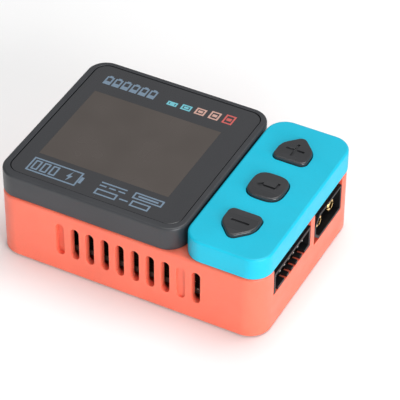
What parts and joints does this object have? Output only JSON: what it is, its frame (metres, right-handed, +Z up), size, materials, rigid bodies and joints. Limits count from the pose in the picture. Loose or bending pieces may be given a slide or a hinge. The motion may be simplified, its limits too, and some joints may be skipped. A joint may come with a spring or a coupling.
{
  "type": "balance battery charger",
  "caption": "Pocket balance charger with a tray case, screen housing, button pod with pressing keys, balance and battery sockets, USB-C port and a turning fan.",
  "frame": {"origin": "on the surface it stands on, under the middle of the case", "axes": "+X along the long side towards the buttons and the battery sockets, +Y to the back, +Z up"},
  "size_m": [0.0752, 0.0534, 0.0263],
  "materials": {
    "coral_plastic": "fine moulded satin",
    "dark_housing_plastic": "satin",
    "blue_plastic": "fine moulded satin",
    "key_plastic": "satin, rounded edges",
    "socket_plastic": "satin",
    "display_glass": "smoked, black printed border",
    "lcd_film": "unlit",
    "white_plastic": "satin",
    "foot_rubber": "matt",
    "gold_contact": "gold plated",
    "tin_contact": "tin plated",
    "steel": "plated",
    "aluminium": "extruded",
    "board_laminate": "solder mask",
    "ferrite": "pressed powder",
    "ribbon_film": "polyimide film",
    "copper_winding": "enamelled wire"
  },
  "bodies": {
    "charger": {"case_shell": "coral_plastic", "bottom_cover": "coral_plastic", "screen_housing": "dark_housing_plastic", "display_glass": "display_glass", "lcd_panel": "lcd_film", "backlight_tray": "white_plastic", "display_ribbon": "ribbon_film", "button_pod": "blue_plastic", "button_board": "board_laminate", "main_board": "board_laminate", "output_socket": "socket_plastic", "input_socket": "socket_plastic", "balance_socket": "socket_plastic", "usb_c_shell": "steel", "usb_c_tongue": "socket_plastic", "heat_sink": "aluminium", "power_inductor": "ferrite", "controller_chip": "socket_plastic", "buzzer": "socket_plastic", "fan_frame": "socket_plastic", "fan_stator": "copper_winding", "plus_switch": "socket_plastic", "enter_switch": "socket_plastic", "minus_switch": "socket_plastic", "rubber_foot_1": "foot_rubber", "rubber_foot_2": "foot_rubber", "rubber_foot_3": "foot_rubber", "rubber_foot_4": "foot_rubber", "case_screw_1": "steel", "case_screw_2": "steel", "case_screw_3": "steel", "case_screw_4": "steel", "balance_pin_1": "tin_contact", "balance_pin_2": "tin_contact", "balance_pin_3": "tin_contact", "balance_pin_4": "tin_contact", "balance_pin_5": "tin_contact", "balance_pin_6": "tin_contact", "balance_pin_7": "tin_contact", "output_pin_1": "gold_contact", "output_pin_2": "gold_contact", "input_pin_1": "gold_contact", "input_pin_2": "gold_contact", "capacitor_1": "aluminium", "capacitor_2": "aluminium", "capacitor_3": "aluminium"},
    "plus_button": {"plus_button": "key_plastic", "plus_plunger": "white_plastic"},
    "enter_button": {"enter_button": "key_plastic", "enter_plunger": "white_plastic"},
    "minus_button": {"minus_button": "key_plastic", "minus_plunger": "white_plastic"},
    "fan_rotor": {"fan_rotor": "socket_plastic"}
  },
  "joints": [
    {"name": "plus_press", "type": "slide", "parent": "charger", "child": "plus_button", "axis": [0, 0, -1], "range_m": [0, 0.0004], "stiffness_N_per_m": 2500},
    {"name": "enter_press", "type": "slide", "parent": "charger", "child": "enter_button", "axis": [0, 0, -1], "range_m": [0, 0.0004], "stiffness_N_per_m": 2500},
    {"name": "minus_press", "type": "slide", "parent": "charger", "child": "minus_button", "axis": [0, 0, -1], "range_m": [0, 0.0004], "stiffness_N_per_m": 2500},
    {"name": "fan_spin", "type": "hinge", "parent": "charger", "child": "fan_rotor", "pos_m": [-0.006, -0.001, 0.006], "axis": [0, 0, 1], "continuous": true}
  ]
}
